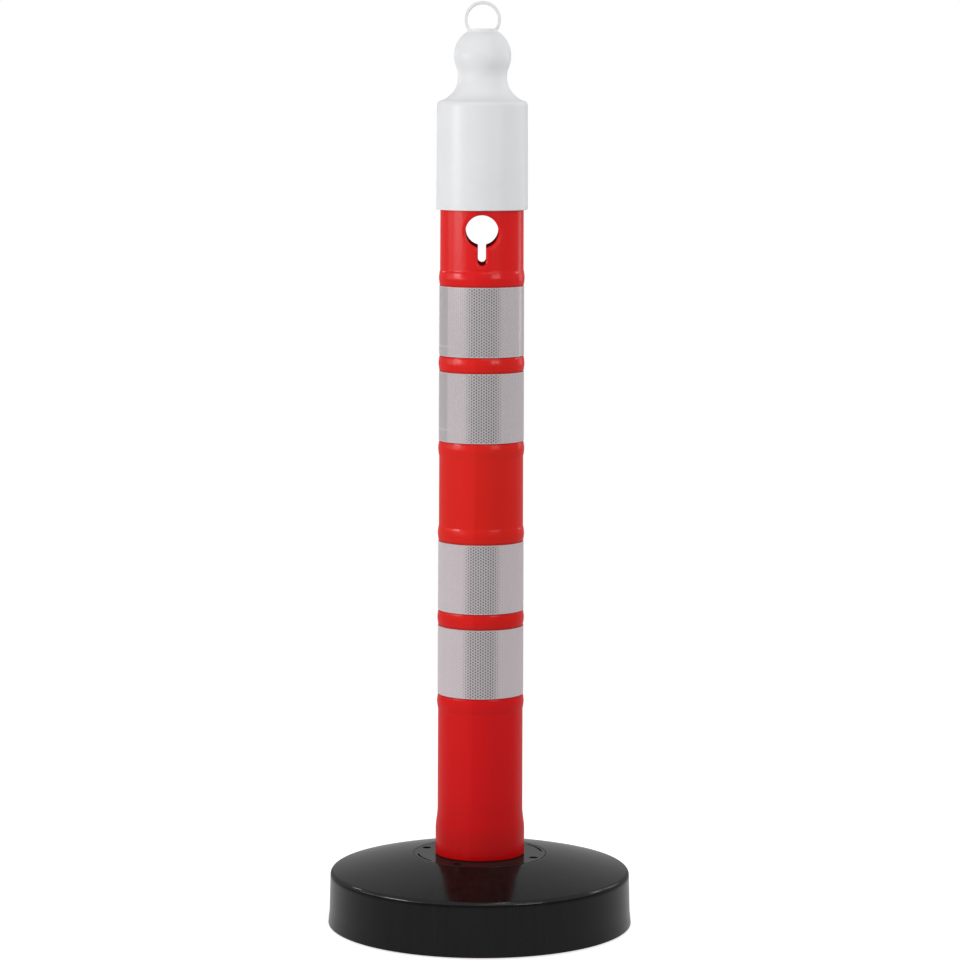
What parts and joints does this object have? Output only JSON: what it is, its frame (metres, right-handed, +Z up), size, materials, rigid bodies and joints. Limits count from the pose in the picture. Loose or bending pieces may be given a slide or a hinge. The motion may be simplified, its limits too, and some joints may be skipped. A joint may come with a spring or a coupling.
{
  "type": "chain barrier post",
  "caption": "Free-standing chain barrier post: red banded tube with keyholes on a round weighted foot, and a push-on white cap that ends in a knob and a swivelling ring eye.",
  "frame": {"origin": "on the ground, under the axis of the tube", "axes": "+Z up along the tube; the two keyholes face -Y, the front, and +Y; +X to the right"},
  "size_m": [0.331, 0.331, 1.0004],
  "materials": {
    "base_gloss_black": "glossy moulded black plastic",
    "flange_matt_black": "fine-grained matt black plastic",
    "plate_matt_black": "plain matt black plastic",
    "tube_red": "semi-gloss traffic red polyethylene",
    "band_reflective": "silver-grey reflective sheeting with a fine cell pattern",
    "cap_white": "satin white polyethylene",
    "ring_white": "satin white plastic",
    "ballast_concrete": "cast concrete",
    "fastener_steel": "zinc-plated steel",
    "bolt_black_steel": "black oxide steel",
    "foot_rubber": "black anti-slip rubber"
  },
  "bodies": {
    "base": {"base_cover": "base_gloss_black", "ballast_block": "ballast_concrete", "ballast_inserts": "fastener_steel", "base_plate": "plate_matt_black", "base_plate_screws": "fastener_steel", "rubber_foot_1": "foot_rubber", "rubber_foot_2": "foot_rubber", "rubber_foot_3": "foot_rubber", "rubber_foot_4": "foot_rubber", "rubber_foot_5": "foot_rubber", "rubber_foot_6": "foot_rubber", "foot_flange": "flange_matt_black", "flange_bolts": "bolt_black_steel"},
    "post": {"post_tube": "tube_red", "reflective_band_1": "band_reflective", "reflective_band_2": "band_reflective", "reflective_band_3": "band_reflective", "reflective_band_4": "band_reflective"},
    "cap": {"cap": "cap_white"},
    "ring": {"ring_eye": "ring_white", "ring_washer": "fastener_steel", "ring_screw": "fastener_steel"}
  },
  "joints": [
    {"name": "post_lift", "type": "slide", "parent": "base", "child": "post", "axis": [0, 0, 1], "range_m": [0, 0.1]},
    {"name": "cap_lift", "type": "slide", "parent": "post", "child": "cap", "axis": [0, 0, 1], "range_m": [0, 0.12]},
    {"name": "ring_swivel", "type": "hinge", "parent": "cap", "child": "ring", "pos_m": [0, 0, 0.96824], "axis": [0, 0, 1], "continuous": true}
  ]
}
